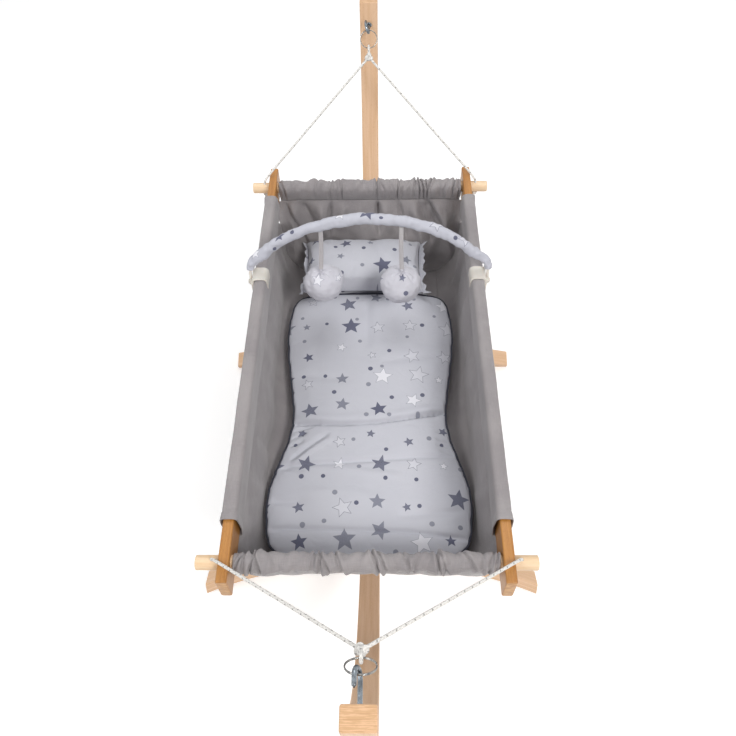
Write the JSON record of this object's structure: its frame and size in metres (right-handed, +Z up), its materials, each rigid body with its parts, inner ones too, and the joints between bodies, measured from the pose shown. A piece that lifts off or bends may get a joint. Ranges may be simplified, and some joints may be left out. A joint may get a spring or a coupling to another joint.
{
  "type": "hanging baby cradle",
  "caption": "Baby cradle with a grey cloth basket on a wooden frame, hung by cords from the tips of a bent wooden beam on two arched feet, with a toy bar, mattress and pillow.",
  "frame": {"origin": "on the floor, in the middle of the box round the whole object, under the beam's lowest point", "axes": "+Z up, +Y toward the head end with the pillow, +X to the right side seen from the foot end"},
  "size_m": [0.732, 1.4818, 0.7845],
  "materials": {
    "pale_wood": "smooth satin lacquer",
    "varnished_wood": "satin varnish",
    "dowel_wood": "bare, sanded",
    "grey_cloth": "plain weave",
    "printed_cloth": "printed cotton",
    "ball_cloth": "soft cotton",
    "ribbon_cloth": "woven ribbon",
    "white_cord": "braided",
    "zinc_steel": "zinc plated",
    "nickel_steel": "nickel plated",
    "ivory_plastic": "semi-gloss"
  },
  "bodies": {
    "stand": {"beam_foot_half": "pale_wood", "beam_head_half": "pale_wood", "beam_splice_bolt_1": "zinc_steel", "beam_splice_bolt_2": "zinc_steel", "beam_splice_nut_1": "zinc_steel", "beam_splice_nut_2": "zinc_steel", "cross_foot_foot": "pale_wood", "cross_foot_foot_bolt_1": "zinc_steel", "cross_foot_foot_bolt_2": "zinc_steel", "cross_foot_foot_nut_1": "zinc_steel", "cross_foot_foot_nut_2": "zinc_steel", "cross_foot_head": "pale_wood", "cross_foot_head_bolt_1": "zinc_steel", "cross_foot_head_bolt_2": "zinc_steel", "cross_foot_head_nut_1": "zinc_steel", "cross_foot_head_nut_2": "zinc_steel", "screw_hook_foot": "zinc_steel", "screw_hook_head": "zinc_steel"},
    "cradle": {"bottom_panel": "grey_cloth", "cord_foot_left": "white_cord", "cord_foot_right": "white_cord", "cord_head_left": "white_cord", "cord_head_right": "white_cord", "cord_knot_foot": "white_cord", "cord_knot_head": "white_cord", "dowel_foot": "dowel_wood", "dowel_head": "dowel_wood", "dowel_sleeve_foot": "grey_cloth", "dowel_sleeve_head": "grey_cloth", "end_panel_foot": "grey_cloth", "end_panel_head": "grey_cloth", "mattress": "printed_cloth", "pillow": "printed_cloth", "rail_left": "varnished_wood", "rail_right": "varnished_wood", "rail_sleeve_left": "grey_cloth", "rail_sleeve_right": "grey_cloth", "side_panel_left": "grey_cloth", "side_panel_right": "grey_cloth", "split_ring_foot": "nickel_steel", "split_ring_head": "nickel_steel"},
    "toy_clips": {"bar_clip_left": "ivory_plastic", "bar_clip_right": "ivory_plastic", "clip_pin_left": "ivory_plastic", "clip_pin_right": "ivory_plastic"},
    "toy_bar": {"toy_bar_rod": "ivory_plastic", "toy_bar_sleeve": "printed_cloth"},
    "toy_left": {"toy_ball_left": "ball_cloth", "toy_ribbon_left": "ribbon_cloth"},
    "toy_right": {"toy_ball_right": "ball_cloth", "toy_ribbon_right": "ribbon_cloth"}
  },
  "joints": [
    {"name": "cradle_swing", "type": "hinge", "parent": "stand", "child": "cradle", "pos_m": [0, 0, 0.7423], "axis": [0, 1, 0], "range_deg": [-20, 20]},
    {"name": "toy_bar_slide", "type": "slide", "parent": "cradle", "child": "toy_clips", "axis": [0, 1, 0], "range_m": [-0.45, 0.02]},
    {"name": "toy_bar_tilt", "type": "hinge", "parent": "toy_clips", "child": "toy_bar", "pos_m": [0, 0.148, 0.4985], "axis": [1, 0, 0], "range_deg": [-20, 20]},
    {"name": "toy_left_swing", "type": "hinge", "parent": "toy_bar", "child": "toy_left", "pos_m": [-0.097, 0.1858, 0.6024], "axis": [1, 0, 0], "range_deg": [-30, 10]},
    {"name": "toy_right_swing", "type": "hinge", "parent": "toy_bar", "child": "toy_right", "pos_m": [0.067, 0.1879, 0.6093], "axis": [1, 0, 0], "range_deg": [-30, 10]}
  ]
}
